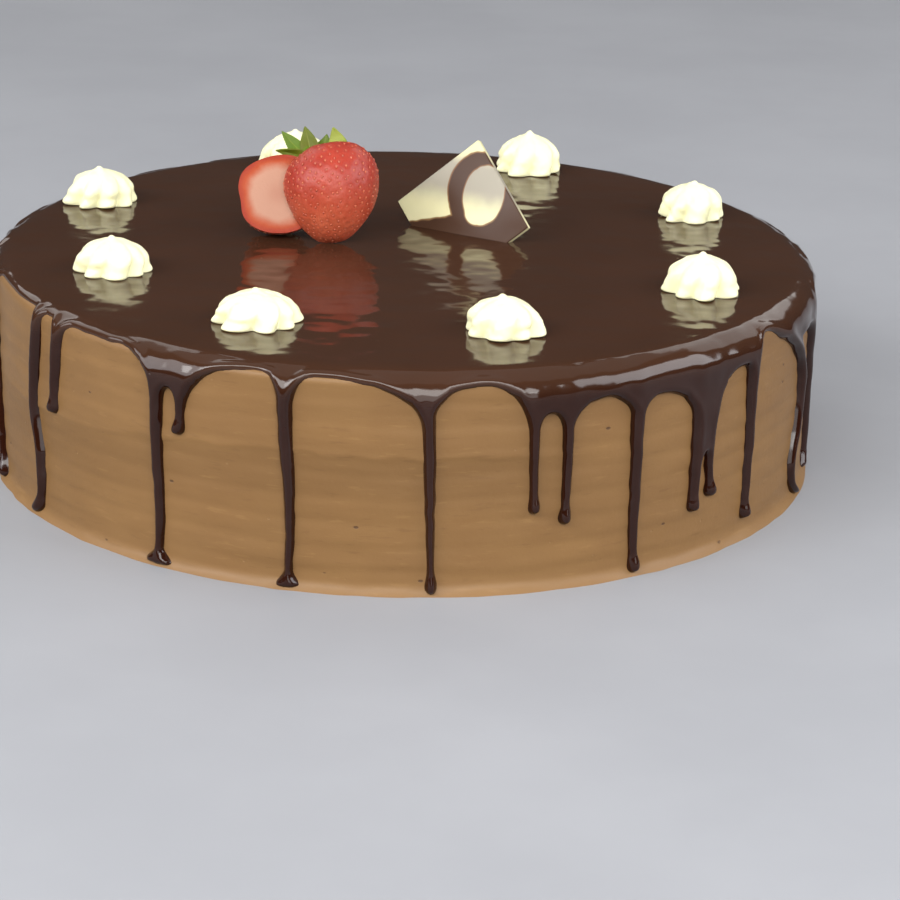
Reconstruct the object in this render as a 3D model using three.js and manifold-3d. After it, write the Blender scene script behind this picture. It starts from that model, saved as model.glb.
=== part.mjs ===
// A round chocolate mousse cake with a dripping glaze, cream rosettes, a halved strawberry and a chocolate
// plaque. The front of the cake faces -Y, its foot stands on z = 0, and angles are measured from the front
// towards +X.
import * as THREE from 'three';
import { mergeVertices } from 'three/addons/utils/BufferGeometryUtils.js';
import Module from 'manifold-3d';

const wasm = await Module();
wasm.setup();

// Driving dimensions in millimetres.
const clearance = 0.3; // between pieces that touch
const mousse = { radius: 126.5, height: 64, edgeRounding: 2.5, columns: 48 };
const comb = { lines: 8, pitch: 7.1, depth: 0.4 }; // shallow waves drawn round the side
const foot = { out: 1.8, height: 3.5 }; // the mousse spreads a little where it stands
const glaze = { thickness: 1.6, skirt: 2, rim: 1.5, columns: 96, narrowGap: 6 }; // the gap in degrees
const shortLap = { middle: 0.4, bottom: 0.8 }; // where a lap that ends on the edge's rounding bends
const drip = { width: 3.6, thickness: 2.2, bulb: 1.3, back: 0.5, root: 2, rows: 12, sides: 6 };
const dripTip = [1, 0.5, 0.15, 0]; // rows that round the tip, in widths from its end
const dripRun = { crowding: 1.2, sway: 7, stray: 0.3 }; // rows closer to the tip, sway in radians
const flare = { widest: 14, tallest: 11, rise: 0.45 }; // how a drip spreads into the coat at its root
const deck = mousse.height + glaze.thickness; // top of the glaze, where the toppings stand
const ample = 100; // more than any topping measures

// Drips on the front: angle, height of the tip over the foot, how far the glaze laps over the edge on the
// drip's right, and how far the drip strays sideways on its way down.
const frontDrips = [
  { angle: -75, tip: 1.4, lap: 0.8 },
  { angle: -57.8, tip: 1.2, lap: 1, stray: 1.4 },
  { angle: -52.7, tip: 36, lap: 1 },
  { angle: -33.1, tip: 1.6, lap: 10, stray: 0.9 },
  { angle: -28.7, tip: 42.7, lap: 1 },
  { angle: -14.6, tip: 1.2, lap: 1.5, stray: 0.7 },
  { angle: 3.7, tip: 1, lap: 3.5, stray: 0.5 },
  { angle: 17.3, tip: 24, lap: 11.5 },
  { angle: 21.7, tip: 20, lap: 9.5 },
  { angle: 31.9, tip: 1, lap: 10 },
  { angle: 41.8, tip: 15.8, lap: 31 },
  { angle: 45, tip: 19.4, lap: 9.5 },
  { angle: 53.4, tip: 7.2, lap: 4, stray: 0.4 },
  { angle: 70.6, tip: 1.4, lap: 13, stray: 2.6 },
  { angle: 82.6, tip: 1.4, lap: 5 },
];
// Drips on the hidden back follow the same look by chance, from the last front drip round to the first.
const backDrips = { seed: 7, gap: [9, 18], tip: [1.4, 44], lap: [1.5, 10] };

const rosette = { lobes: 8, columns: 32 };
// Rosette from its peak to its underside: share of the half width, share of the height, groove.
const rosetteRows = [
  [0, 1, 0],
  [0.1, 0.95, 0],
  [0.2, 0.9, 0.04],
  [0.53, 0.81, 0.08],
  [0.86, 0.56, 0.12],
  [1, 0.28, 0.15],
  [1, 0.1, 0.17],
  [0.94, 0, 0.17],
  [0, 0, 0],
];
// Cream rosettes on the top: place, width, height, turn in degrees, and how far the peak leans.
const rosettes = [
  { x: -42, y: -82, width: 26.5, height: 10, turn: 10, lean: 0.5 },
  { x: 28.5, y: -87, width: 25, height: 11.3, turn: 32, lean: -0.6 },
  { x: 89, y: -42, width: 24, height: 12.2, turn: 5, lean: -0.4 },
  { x: 93, y: 43, width: 23.5, height: 12, turn: 48, lean: 0.6 },
  { x: 42, y: 99, width: 25.6, height: 13.4, turn: 20, lean: 0 },
  { x: -38, y: 98, width: 25, height: 12.8, turn: 37, lean: 0.5 },
  { x: -99, y: 46, width: 25, height: 11.8, turn: 15, lean: 0.8 },
  { x: -88, y: -33, width: 25, height: 10.8, turn: 52, lean: -0.7 },
];

const berry = { rows: 14, columns: 20 };
// Both halves share one cut plane that leans back over the deck. Places are measured across and up that
// plane, a turn swings the stem end to the right, and a side of 1 lies behind the plane.
const cutPlane = { y: 2, lean: 28 };
const frontHalf = { x: -23.5, up: 16, turn: 0, side: -1 };
const rearHalf = { x: -40.2, up: 15.3, turn: 80, side: 1 };
// Whole berries: length from stem to tip, width along the cut, depth across it. A smaller fullness makes
// the ends blunter, and the taper thins the tip.
const frontBerry = { length: 32, width: 30, depth: 30, fullness: 1, taper: 0.2 };
const rearBerry = { length: 23.6, width: 25, depth: 31, fullness: 0.6, taper: 0.04 };

const calyx = { x: -27.2, up: 26.4, turn: -8, side: 1, back: 1.6 };
const crown = { radius: 3.4, height: 1.8, rows: 4, columns: 10 };
const sepal = { length: 11.5, width: 5.6, thickness: 0.7, curl: 2.4, cup: 0.9, steps: 6 };
const sepalOutline = { root: 0.2, belly: 0.95 }; // sideways from the midrib, in widths
const sepalWave = { height: 0.4, length: 9 }; // a ripple along the sepal, its length in radians
const sepalRoot = { out: 0.4, up: 0.3 }; // where a sepal starts, in crown radii and crown heights
// Sepals round the crown, in degrees: turn round the stem, rise from the flat, roll about their length.
const sepals = [
  { turn: 176, rise: 23, roll: -40, size: 1.05 },
  { turn: 166, rise: 34, roll: -60, size: 1 },
  { turn: 135, rise: 66, roll: -30, size: 1 },
  { turn: 60, rise: 60, roll: 25, size: 0.8 },
  { turn: 18, rise: 46, roll: 55, size: 1.1 },
  { turn: 88, rise: 12, roll: 0, size: 0.9 },
];

// A square plaque that stands on one corner, as far as it shows over the glaze, turned in degrees.
const plaque = { side: 34, thickness: 2.2, corner: 0.8, bevel: 0.3 };
const plaquePlace = { x: 17.8, y: 17.5, up: 6, facing: -31, lean: 20, roll: 44 };

const radians = THREE.MathUtils.degToRad;
const { clamp, lerp, smoothstep } = THREE.MathUtils;

// Repeatable random numbers from 0 to 1.
function seededRandom(seed) {
  const multiplier = 48271;
  const modulus = 2147483647;
  let state = seed;
  return () => {
    state = (state * multiplier) % modulus;
    return state / modulus;
  };
}

function polar(radius, angle, height) {
  return new THREE.Vector3(radius * Math.sin(angle), -radius * Math.cos(angle), height);
}

// A closed skin between two poles. place gives the point on a row at an angle round it. Rows are counted
// from the first pole, seen from which the angle grows anticlockwise. At a pole the angle is 0.
function closedSkin(rows, columns, place) {
  const geometry = new THREE.SphereGeometry(1, columns, rows);
  const { position, uv } = geometry.attributes;
  for (let i = 0; i < position.count; i += 1) {
    const row = Math.round((1 - uv.getY(i)) * rows);
    const column = row % rows === 0 ? 0 : Math.round(uv.getX(i) * columns) % columns;
    const point = place(row, (column / columns) * 2 * Math.PI);
    position.setXYZ(i, point.x, point.y, point.z);
  }
  return bare(geometry);
}

// A geometry with positions alone and its shared corners merged.
function bare(geometry) {
  geometry.deleteAttribute('normal');
  geometry.deleteAttribute('uv');
  return mergeVertices(geometry, 1e-3);
}

function toSolid(geometry) {
  const vertProperties = new Float32Array(geometry.attributes.position.array);
  const triVerts = new Uint32Array(geometry.index.array);
  return new wasm.Manifold(new wasm.Mesh({ numProp: 3, vertProperties, triVerts }));
}

function toGeometry(solid) {
  const { vertProperties, triVerts } = solid.getMesh();
  const geometry = new THREE.BufferGeometry();
  geometry.setAttribute('position', new THREE.BufferAttribute(vertProperties, 3));
  geometry.setIndex(new THREE.BufferAttribute(triVerts, 1));
  return geometry;
}

function union(geometries) {
  return toGeometry(geometries.map(toSolid).reduce((whole, piece) => whole.add(piece)));
}

// What is left of a topping above the deck it stands on.
function aboveDeck(geometry) {
  const below = new THREE.BoxGeometry(2 * mousse.radius, 2 * mousse.radius, ample);
  below.translate(0, 0, deck + clearance - ample / 2);
  return toGeometry(toSolid(geometry).subtract(toSolid(bare(below))));
}

// Outside radius of the mousse at a height, with the spread at its foot.
function sideRadius(height) {
  const spread = Math.max(0, 1 - height / foot.height);
  return mousse.radius + foot.out * spread ** 2;
}

const bendLength = (mousse.edgeRounding * Math.PI) / 2;
const bendBottom = mousse.height - mousse.edgeRounding;

// A point by its angle, the way down along the mousse from where the flat top ends, and its lift.
function onSkin(angle, down, lift) {
  if (down >= bendLength) {
    const height = bendBottom - (down - bendLength);
    return polar(sideRadius(height) + lift, angle, height);
  }
  const flatEdge = mousse.radius - mousse.edgeRounding;
  if (down <= 0) {
    return polar(flatEdge + down, angle, mousse.height + lift);
  }
  const bend = down / mousse.edgeRounding;
  const reach = mousse.edgeRounding + lift;
  return polar(flatEdge + reach * Math.sin(bend), angle, bendBottom + reach * Math.cos(bend));
}

function wayDownTo(height) {
  return bendLength + bendBottom - height;
}

function buildMousse() {
  const flatEdge = [mousse.radius - mousse.edgeRounding, mousse.height];
  const bend = mousse.edgeRounding * (1 - Math.SQRT1_2);
  const profile = [[0, mousse.height], flatEdge, [mousse.radius - bend, mousse.height - bend]];
  for (let line = 0; line < comb.lines; line += 1) {
    const ridge = bendBottom - line * comb.pitch;
    profile.push([mousse.radius, ridge], [mousse.radius - comb.depth, ridge - comb.pitch / 2]);
  }
  for (const height of [foot.height, foot.height / 2, 0]) {
    profile.push([sideRadius(height), height]);
  }
  profile.push([0, 0]);
  return closedSkin(profile.length - 1, mousse.columns, (row, angle) => {
    const [radius, height] = profile[row];
    return polar(radius, angle, height);
  });
}

// All drips in order round the cake, the hidden ones drawn by chance.
function allDrips() {
  const random = seededRandom(backDrips.seed);
  const drips = [...frontDrips];
  const end = frontDrips[0].angle + 360 - backDrips.gap[0];
  let angle = frontDrips.at(-1).angle + lerp(...backDrips.gap, random());
  while (angle < end) {
    const tip = lerp(...backDrips.tip, random() ** 2);
    const lap = lerp(...backDrips.lap, random());
    drips.push({ angle, tip, lap });
    angle += lerp(...backDrips.gap, random());
  }
  return drips;
}

// How far the coat laps over the edge at an angle in degrees: the laps of the wide gaps, joined by straight
// runs. A narrow gap is closed above by the flares of the drips beside it.
function lapAt(drips, degrees) {
  const gaps = drips.map(({ angle, lap }, i) => {
    const width = (i + 1 < drips.length ? drips[i + 1].angle : drips[0].angle + 360) - angle;
    return { middle: angle + width / 2, width, lap };
  }).filter(({ width }) => width > glaze.narrowGap);
  const first = gaps[0].middle;
  const turned = first + THREE.MathUtils.euclideanModulo(degrees - first, 360);
  gaps.push({ ...gaps[0], middle: first + 360 });
  const next = gaps.findIndex((gap) => gap.middle > turned);
  const before = gaps[next - 1];
  const after = gaps[next];
  return lerp(before.lap, after.lap, (turned - before.middle) / (after.middle - before.middle));
}

// The coat on the top, over the edge and down to the laps, as one shell with a rounded lower rim.
function glazeCoat(drips) {
  const outside = [glaze.thickness, (glaze.thickness + glaze.skirt) / 2, glaze.skirt, glaze.rim];
  const lifts = [...outside, clearance, clearance, clearance, clearance];
  const rows = lifts.length + 1;
  return closedSkin(rows, glaze.columns, (row, angle) => {
    if (row % rows === 0) {
      return new THREE.Vector3(0, 0, mousse.height + (row === 0 ? glaze.thickness : clearance));
    }
    const lap = lapAt(drips, THREE.MathUtils.radToDeg(angle));
    const middle = Math.min(bendLength / 2, lap * shortLap.middle);
    const bottom = Math.min(bendLength, lap * shortLap.bottom);
    const down = [0, middle, bottom, lap, lap, bottom, middle, 0][row - 1];
    return onSkin(angle, down, lifts[row - 1]);
  });
}

// Half the width that a drip has beyond its run on one side, where it spreads into the lap above it.
function flareOf(down, lap, gap) {
  const reach = Math.min(gap / 2 + clearance, flare.widest);
  const fall = clamp(flare.rise * gap, drip.width, flare.tallest);
  const rise = clamp((lap + fall - down) / fall, 0, 1);
  return reach * (1 - Math.sqrt(1 - rise ** 2));
}

// One drip: a flat-backed run down the side, flared at the root and round at the tip.
function glazeDrip(left, own, right) {
  const millimetres = radians(1) * mousse.radius;
  const gapLeft = Math.max(0, (own.angle - left.angle) * millimetres - drip.width);
  const gapRight = Math.max(0, (right.angle - own.angle) * millimetres - drip.width);
  const end = wayDownTo(own.tip);
  const bends = [-drip.root, 0, bendLength / 2];
  const rounding = dripTip.map((widths) => widths * drip.width);
  const steps = drip.rows - bends.length - rounding.length;
  const stray = own.stray ?? dripRun.stray;
  return closedSkin(drip.rows, drip.sides, (row, turn) => {
    const share = clamp((row - bends.length) / steps, 0, 1);
    const run = lerp(end - bendLength, drip.width, share ** dripRun.crowding);
    const toEnd = rounding[row - bends.length - steps - 1] ?? run;
    const down = bends[row] ?? end - toEnd;
    const swell = lerp(drip.bulb, 1, smoothstep(toEnd, drip.width, 2 * drip.width));
    const open = row === 0 ? 0 : Math.sqrt(1 - clamp(1 - (2 * toEnd) / drip.width, 0, 1) ** 2);
    const side = -Math.cos(turn);
    const spread = side < 0 ? flareOf(down, left.lap, gapLeft) : flareOf(down, own.lap, gapRight);
    const across = side * open * ((drip.width / 2) * swell + spread);
    const sway = stray * Math.sin(share * dripRun.sway);
    const fullness = smoothstep(down, 0, flare.tallest);
    const thickness = lerp(glaze.rim - drip.back, drip.thickness * swell, fullness);
    const lift = drip.back + Math.max(0, Math.sin(turn)) * thickness * open;
    return onSkin(radians(own.angle) + (across + sway) / mousse.radius, down, lift);
  });
}

function buildGlaze() {
  const drips = allDrips();
  const runs = drips.map((own, i) => {
    const left = drips.at(i - 1);
    const right = drips[(i + 1) % drips.length];
    const before = i === 0 ? { ...left, angle: left.angle - 360 } : left;
    const after = i + 1 === drips.length ? { ...right, angle: right.angle + 360 } : right;
    return glazeDrip(before, own, after);
  });
  return union([glazeCoat(drips), ...runs]);
}

// A piped dollop with grooves between its lobes, feet that stick out and a small peak.
function buildRosette({ x, y, width, height, turn, lean }) {
  return closedSkin(rosetteRows.length - 1, rosette.columns, (row, angle) => {
    const [reach, level, groove] = rosetteRows[row];
    const lobe = 1 + groove * (Math.cos(rosette.lobes * angle) - 1);
    const radius = (width / 2) * reach * lobe;
    const point = polar(radius, angle + radians(turn), deck + clearance + height * level);
    return point.add(new THREE.Vector3(x + lean * level ** 3, y, 0));
  });
}

// A berry about its own middle, with its stem end up along +Z.
function wholeBerry({ length, width, depth, fullness, taper }) {
  const { rows, columns } = berry;
  const geometry = closedSkin(rows, columns, (row, angle) => {
    const turn = (Math.PI * row) / rows;
    const girth = (Math.sin(turn) ** fullness * (1 + taper * Math.cos(turn))) / (1 + taper ** 2 / 2);
    return polar((width / 2) * girth, angle, (length / 2) * Math.cos(turn));
  });
  return geometry.scale(1, depth / width, 1);
}

// The half of an upright shape that lies on one side of the plane y = 0, a little clear of it.
function halved(geometry, side) {
  const box = new THREE.BoxGeometry(ample, ample, ample);
  box.translate(0, (side * (ample + clearance)) / 2, 0);
  return toGeometry(toSolid(geometry).intersect(toSolid(bare(box))));
}

// Turns a shape that was made upright into the leaning cut plane, at its place across and up the plane.
function intoCutPlane(geometry, { x, up, turn }) {
  geometry.rotateY(radians(turn));
  geometry.translate(x, 0, up);
  geometry.rotateX(-radians(cutPlane.lean));
  geometry.translate(0, cutPlane.y, deck);
  return geometry;
}

function buildHalf(whole, half) {
  return aboveDeck(intoCutPlane(halved(wholeBerry(whole), half.side), half));
}

// One pointed sepal along +X that curls up along its length and is hollowed across it.
function buildSepal(size) {
  const { length, width, thickness, curl, cup, steps } = sepal;
  const root = width * sepalOutline.root;
  const belly = width * sepalOutline.belly;
  const outline = new THREE.Shape();
  outline.moveTo(0, -root);
  outline.quadraticCurveTo(length / 2, -belly, length, 0);
  outline.quadraticCurveTo(length / 2, belly, 0, root);
  const thin = { depth: thickness, bevelEnabled: false, curveSegments: steps };
  const geometry = new THREE.ExtrudeGeometry(outline, thin);
  const { position } = geometry.attributes;
  for (let i = 0; i < position.count; i += 1) {
    const along = position.getX(i) / length;
    const across = position.getY(i) / (width / 2);
    const ripple = sepalWave.height * Math.sin(along * sepalWave.length);
    position.setZ(i, position.getZ(i) + curl * along ** 2 + cup * across ** 2 + ripple);
  }
  geometry.scale(size, size, 1);
  return bare(geometry);
}

// The green leaves on a small crown behind the cut plane.
function buildCalyx() {
  const dome = closedSkin(crown.rows, crown.columns, (row, angle) => {
    const turn = (Math.PI * row) / crown.rows;
    return polar(crown.radius * Math.sin(turn), angle, (crown.height / 2) * (1 + Math.cos(turn)));
  });
  const leaves = sepals.map(({ turn, rise, roll, size }) => {
    const leaf = buildSepal(size);
    leaf.rotateX(radians(roll));
    leaf.rotateY(-radians(rise));
    leaf.translate(crown.radius * sepalRoot.out, 0, crown.height * sepalRoot.up);
    return leaf.rotateZ(radians(turn));
  });
  const whole = union([dome, ...leaves]);
  whole.translate(0, calyx.back, 0);
  return intoCutPlane(halved(whole, calyx.side), calyx);
}

function buildPlaque() {
  const { side, thickness, corner, bevel } = plaque;
  const { x, y, up, facing, lean, roll } = plaquePlace;
  const straight = side / 2 - corner;
  const outline = new THREE.Shape();
  for (const turn of [0, Math.PI / 2, Math.PI, 1.5 * Math.PI]) {
    const middle = new THREE.Vector2(straight, straight).rotateAround(new THREE.Vector2(), turn);
    outline.absarc(middle.x, middle.y, corner - bevel, turn, turn + Math.PI / 2);
  }
  const geometry = new THREE.ExtrudeGeometry(outline, {
    depth: thickness - 2 * bevel,
    bevelThickness: bevel,
    bevelSize: bevel,
    bevelSegments: 1,
    curveSegments: 3,
  });
  geometry.translate(0, 0, bevel - thickness);
  geometry.rotateZ(radians(roll));
  geometry.rotateX(radians(90 - lean));
  geometry.rotateZ(radians(facing));
  geometry.translate(x, y, deck + up);
  return aboveDeck(bare(geometry));
}

function named(name, geometry, finish) {
  const mesh = new THREE.Mesh(geometry, new THREE.MeshStandardMaterial({ metalness: 0, ...finish }));
  mesh.name = name;
  return mesh;
}

const cake = new THREE.Group();
cake.add(named('mousse', buildMousse(), { color: 0x9a744a, roughness: 0.7 }));
cake.add(named('glaze', buildGlaze(), { color: 0x3e2d26, roughness: 0.12 }));
rosettes.forEach((place, i) => {
  cake.add(named(`cream_rosette_${i + 1}`, buildRosette(place), { color: 0xfaf8e2, roughness: 0.5 }));
});
const skinLook = { color: 0xc8503f, roughness: 0.35 };
const cutLook = { color: 0xd98b72, roughness: 0.4 };
cake.add(named('strawberry_front_half', buildHalf(frontBerry, frontHalf), skinLook));
cake.add(named('strawberry_rear_half', buildHalf(rearBerry, rearHalf), cutLook));
cake.add(named('strawberry_leaves', buildCalyx(), { color: 0x6d8a2f, roughness: 0.55 }));
cake.add(named('chocolate_plaque', buildPlaque(), { color: 0xe6dcb8, roughness: 0.3 }));

export default cake;
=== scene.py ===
import math

import bpy
import numpy as np
from mathutils import Matrix, Vector


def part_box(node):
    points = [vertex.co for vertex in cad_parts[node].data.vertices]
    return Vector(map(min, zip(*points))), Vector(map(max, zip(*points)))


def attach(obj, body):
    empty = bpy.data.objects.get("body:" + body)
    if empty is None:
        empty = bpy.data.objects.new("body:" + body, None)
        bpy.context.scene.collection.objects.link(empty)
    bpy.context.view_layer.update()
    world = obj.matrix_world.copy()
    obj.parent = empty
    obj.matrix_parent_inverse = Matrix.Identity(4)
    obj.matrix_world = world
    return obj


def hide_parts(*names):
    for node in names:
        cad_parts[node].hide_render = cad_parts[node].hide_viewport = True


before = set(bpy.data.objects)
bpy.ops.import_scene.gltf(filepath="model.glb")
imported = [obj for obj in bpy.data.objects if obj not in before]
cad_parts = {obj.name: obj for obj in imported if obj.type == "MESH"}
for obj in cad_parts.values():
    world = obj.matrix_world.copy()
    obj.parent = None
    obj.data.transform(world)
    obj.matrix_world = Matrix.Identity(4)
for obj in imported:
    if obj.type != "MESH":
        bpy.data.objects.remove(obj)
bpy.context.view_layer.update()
mm = 0.001
print("frame loaded:", len(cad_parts), "nodes")

# sizes of the plain solids that the looks are fitted to, in millimetres
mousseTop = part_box("mousse")[1].z / mm
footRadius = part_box("mousse")[1].x / mm
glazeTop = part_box("glaze")[1].z / mm


def clearSelection():
    bpy.ops.object.select_all(action="DESELECT")


def only(piece):
    clearSelection()
    piece.select_set(True)
    bpy.context.view_layer.objects.active = piece


def startPiece(name):  # names the primitive that was just added
    piece = bpy.context.object
    piece.name = name
    piece.data.name = name
    return piece


def readPoints(piece):
    flat = np.empty(len(piece.data.vertices) * 3)
    piece.data.vertices.foreach_get("co", flat)
    return flat.reshape(-1, 3)


def writePoints(piece, points):
    piece.data.vertices.foreach_set("co", np.asarray(points, float).ravel())
    piece.data.update()


def markPoints(piece, name, values):  # a number for every point, which the finish reads
    piece.data.attributes.new(name, "FLOAT", "POINT").data.foreach_set("value", values)


def placed(points, matrix):  # from millimetres in a frame of its own to metres on the cake
    matrix = np.array(matrix)
    return (points * mm) @ matrix[:3, :3].T + matrix[:3, 3]


def unit(rows):
    return rows / np.linalg.norm(rows, axis=1)[:, None]


def modify(piece, kind, **settings):
    only(piece)
    modifier = piece.modifiers.new(kind.lower(), kind)
    for key, value in settings.items():
        setattr(modifier, key, value)
    bpy.ops.object.modifier_apply(modifier=modifier.name)


def fromArrays(name, points, faces):
    mesh = bpy.data.meshes.new(name)
    mesh.from_pydata(np.asarray(points, float), [], faces)
    mesh.validate()
    piece = bpy.data.objects.new(name, mesh)
    bpy.context.scene.collection.objects.link(piece)
    return piece


def joined(pieces):  # into the first one
    only(pieces[0])
    for piece in pieces:
        piece.select_set(True)
    bpy.ops.object.join()
    return pieces[0]


def smoothShade(piece, degrees=None):
    only(piece)
    if degrees is None:
        bpy.ops.object.shade_smooth()
    else:
        bpy.ops.object.shade_smooth_by_angle(angle=math.radians(degrees))


def standFor(piece, slotName, node, *looks):
    for look in looks:
        piece.data.materials.append(look)
    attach(piece, "root")
    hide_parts(node)


def step(value, low, high):  # soft step from 0 at low to 1 at high
    share = np.clip((value - low) / (high - low), 0, 1)
    return share * share * (3 - 2 * share)


def mixed(first, second, share):
    return first + (second - first) * share


def softNoise(turn, level, columns, rows, seed):  # from -1 to 1, closes on itself round the cake
    lattice = np.random.default_rng(seed).uniform(-1, 1, (columns, rows + 2))
    x = (np.asarray(turn) % 1) * columns
    y = np.clip(np.asarray(level), 0, 1) * rows
    column, row = np.floor(x).astype(int), np.floor(y).astype(int)
    along, below = step(x - column, 0, 1), step(y - row, 0, 1)
    left, right = column % columns, (column + 1) % columns
    upper = mixed(lattice[left, row], lattice[right, row], along)
    lower = mixed(lattice[left, row + 1], lattice[right, row + 1], along)
    return mixed(upper, lower, below)


# Shader helpers

def paint(red, green, blue):  # a colour as seen on a screen, 0 to 255
    shares = (red / 255, green / 255, blue / 255)
    return (*(part / 12.92 if part < 0.0404 else ((part + 0.055) / 1.055) ** 2.4 for part in shares), 1)


class Wire:  # an output socket that can stand in sums
    def __init__(self, finish, socket):
        self.finish = finish
        self.socket = socket

    def maths(self, operation, first, second):
        return self.finish.node("ShaderNodeMath", {"operation": operation}, {0: first, 1: second})

    def highest(self, other):
        return self.maths("MAXIMUM", self, other)

    def lowest(self, other):
        return self.maths("MINIMUM", self, other)


# each operator, and its reflected form for a number that stands first
for sign, operation in (("add", "ADD"), ("sub", "SUBTRACT"), ("mul", "MULTIPLY"), ("truediv", "DIVIDE"),
                        ("pow", "POWER")):
    setattr(Wire, f"__{sign}__", lambda self, other, kind=operation: self.maths(kind, self, other))
    setattr(Wire, f"__r{sign}__", lambda self, other, kind=operation: self.maths(kind, other, self))


class Finish:  # a material whose nodes are added one by one
    def __init__(self, name):
        self.material = bpy.data.materials.new(name)
        self.material.use_nodes = True
        self.tree = self.material.node_tree
        self.tree.nodes.clear()

    def node(self, kind, settings, sockets, output=0):
        made = self.tree.nodes.new(kind)
        for key, value in settings.items():
            setattr(made, key, value)
        for key, value in sockets.items():
            if isinstance(value, Wire):
                self.tree.links.new(value.socket, made.inputs[key])
            else:
                made.inputs[key].default_value = value
        return Wire(self, made.outputs[output]) if made.outputs else made

    def place(self):  # metres, in the frame of the cake
        return self.node("ShaderNodeTexCoord", {}, {}, "Object")

    def localPlace(self, matrix):  # metres, in the frame that the matrix puts on the cake
        return self.node("ShaderNodeMapping", {"vector_type": "TEXTURE"},
                         {"Vector": self.place(), "Location": matrix.translation,
                          "Rotation": matrix.to_euler("XYZ")})

    def stretched(self, vector, scale):
        return self.node("ShaderNodeVectorMath", {"operation": "MULTIPLY"}, {0: vector, 1: scale})

    def axis(self, vector, name):
        return self.node("ShaderNodeSeparateXYZ", {}, {0: vector}, name)

    def noise(self, vector, size, detail=2.0, roughness=0.5):  # size in millimetres
        return self.node("ShaderNodeTexNoise", {},
                         {"Vector": vector, "Scale": 1 / (size * mm), "Detail": detail,
                          "Roughness": roughness})

    def cells(self, vector, size):  # distance from the middle of scattered cells, size in millimetres
        return self.node("ShaderNodeTexVoronoi", {}, {"Vector": vector, "Scale": 1 / (size * mm)},
                         "Distance")

    def ramp(self, value, low, high):  # soft step from 0 at low to 1 at high
        return self.node("ShaderNodeMapRange", {"interpolation_type": "SMOOTHSTEP"},
                         {"Value": value, "From Min": low, "From Max": high})

    def blend(self, share, first, second):  # 6, 7 and 2 are the sockets for colours
        return self.node("ShaderNodeMix", {"data_type": "RGBA"}, {0: share, 6: first, 7: second}, 2)

    def attribute(self, name):
        return self.node("ShaderNodeAttribute", {"attribute_name": name}, {}, "Fac")

    def bump(self, height, distance):  # distance in millimetres
        return self.node("ShaderNodeBump", {}, {"Height": height, "Distance": distance * mm})

    def surface(self, sockets):
        shader = self.node("ShaderNodeBsdfPrincipled", {}, sockets)
        self.node("ShaderNodeOutputMaterial", {}, {"Surface": shader})
        return self.material


# Skin of the cake: where a point lies by its angle, its way down from the flat top and its lift

body = {
    "footOut": 1.8,     # spread where the mousse stands
    "footHeight": 3.5,
    "edge": 2.5,        # rounding between top and side
}
bodyRadius = footRadius - body["footOut"]
bendLength = body["edge"] * math.pi / 2
bendBottom = mousseTop - body["edge"]
roundTrip = 2 * math.pi * bodyRadius
perDegree = roundTrip / 360


def footSpread(height):
    return body["footOut"] * np.clip(1 - height / body["footHeight"], 0, 1) ** 2


def polar(radius, angle, height):
    return np.stack([radius * np.sin(angle), -radius * np.cos(angle), height + 0 * angle], -1) * mm


def onSkin(across, down, lift):
    bend = np.clip(down, 0, bendLength) / body["edge"]
    fall = np.maximum(down - bendLength, 0)
    height = bendBottom + (body["edge"] + lift) * np.cos(bend) - fall
    radius = bodyRadius - body["edge"] + np.minimum(down, 0) + (body["edge"] + lift) * np.sin(bend)
    return polar(radius + footSpread(height), across / bodyRadius, height)


def wayDownTo(height):
    return bendLength + bendBottom - height


# Mousse body

mousse = {
    "columns": 640,
    "rows": 100,
    "wavePitch": 7.4,     # broad waves left by the scraper
    "waveDepth": 0.1,
    "waveWander": 1.8,
    "waveStrength": (0.65, 0.5),    # mean, and how far it varies
    "linePitch": 3.6,     # fine lines between them
    "lineDepth": 0.02,
    "lumps": 0.12,        # broad and fine unevenness
    "grain": 0.02,
    # degrees and heights of the seam between two passes of the scraper
    "seam": [(-75, 33), (-48, 34.5), (-39, 36.8), (-33, 38.8), (-16, 40.8), (3, 40.6), (20, 39)],
    "seamEnds": (-80, -60, 10, 28),    # degrees over which it comes and goes
    "seamWander": 0.9,
    "seamStep": 0.3,      # upper pass of the scraper stands proud of the lower one
    "footRagged": 0.35,
    "footSeed": 21,
    "seed": 11,
}


def seamAt(degrees):  # how plain the seam is, and its height
    angles, heights = zip(*mousse["seam"])
    starts, full, fades, ends = mousse["seamEnds"]
    plain = step(degrees, starts, full) * (1 - step(degrees, fades, ends))
    wander = mousse["seamWander"] * softNoise(degrees / 360, 0, 120, 1, mousse["seed"] + 4)
    return plain, np.interp(degrees, angles, heights) + wander


def mousseRelief(degrees, height):
    turn, level, seed = degrees / 360, height / mousseTop, mousse["seed"]
    wander = softNoise(turn, level, 26, 3, seed) * mousse["waveWander"]
    mean, varies = mousse["waveStrength"]
    strength = mean + varies * softNoise(turn, level, 34, 8, seed + 1)
    waves = np.sin(2 * np.pi * (height + wander) / mousse["wavePitch"])
    lines = np.sin(2 * np.pi * (height + 0.7 * wander) / mousse["linePitch"])
    relief = mousse["waveDepth"] * strength * waves + mousse["lineDepth"] * lines
    relief += mousse["lumps"] * softNoise(turn, level, 60, 12, seed + 2)
    relief += mousse["grain"] * softNoise(turn, level, 240, 40, seed + 3)
    # a sharp step at the seam, which fades out above it
    plain, seam = seamAt(degrees)
    proud = step(height, seam - 0.5, seam + 0.5) * (1 - step(height, seam + 1, seam + 14))
    return relief + plain * mousse["seamStep"] * (proud - 0.3)


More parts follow.
